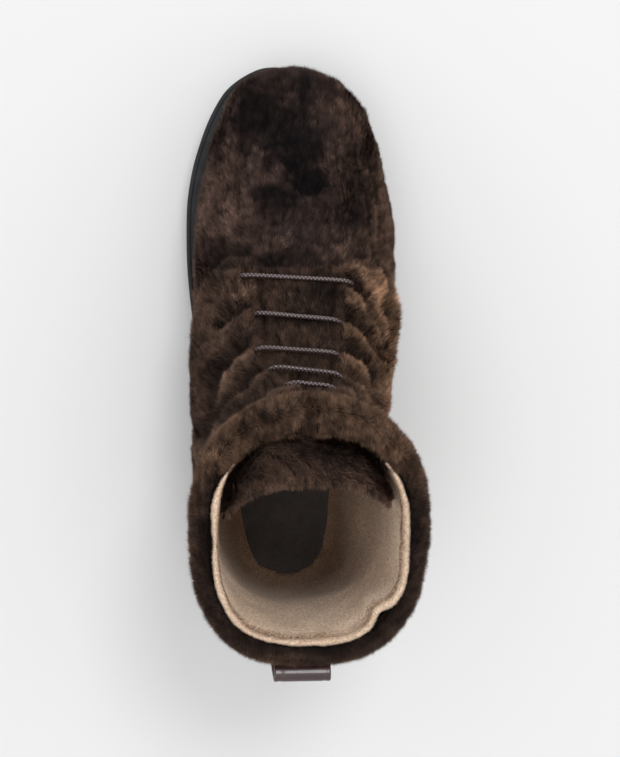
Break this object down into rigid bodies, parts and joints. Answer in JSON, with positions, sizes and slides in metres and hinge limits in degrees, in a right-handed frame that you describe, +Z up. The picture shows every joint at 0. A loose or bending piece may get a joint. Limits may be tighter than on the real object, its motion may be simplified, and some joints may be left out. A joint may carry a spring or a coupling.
{
  "type": "shearling lace-up mukluk boot",
  "caption": "Ankle boot of dark brown sheared sheepskin with the wool outside, laced up the front, with a heel loop and a stepped rubber sole",
  "frame": {"origin": "on the floor, at the middle of the heel's tread", "axes": "+Y to the toe, +X to the outer side of the right foot, +Z up"},
  "size_m": [0.1171, 0.32, 0.1738],
  "materials": {
    "sole_rubber": "satin moulded rubber",
    "welt_rubber": "satin moulded rubber",
    "footbed_leather": "smooth, unprinted",
    "wool_pile": "sheared wool pile on hide",
    "waxed_cord": "waxed round braid",
    "loop_leather": "polished",
    "lining_felt": "brushed lining"
  },
  "bodies": {
    "root": {"outsole": "sole_rubber", "welt": "welt_rubber", "insole": "footbed_leather", "upper": "wool_pile", "tongue": "wool_pile", "lace": "waxed_cord", "pull_loop": "loop_leather"}
  },
  "joints": []
}
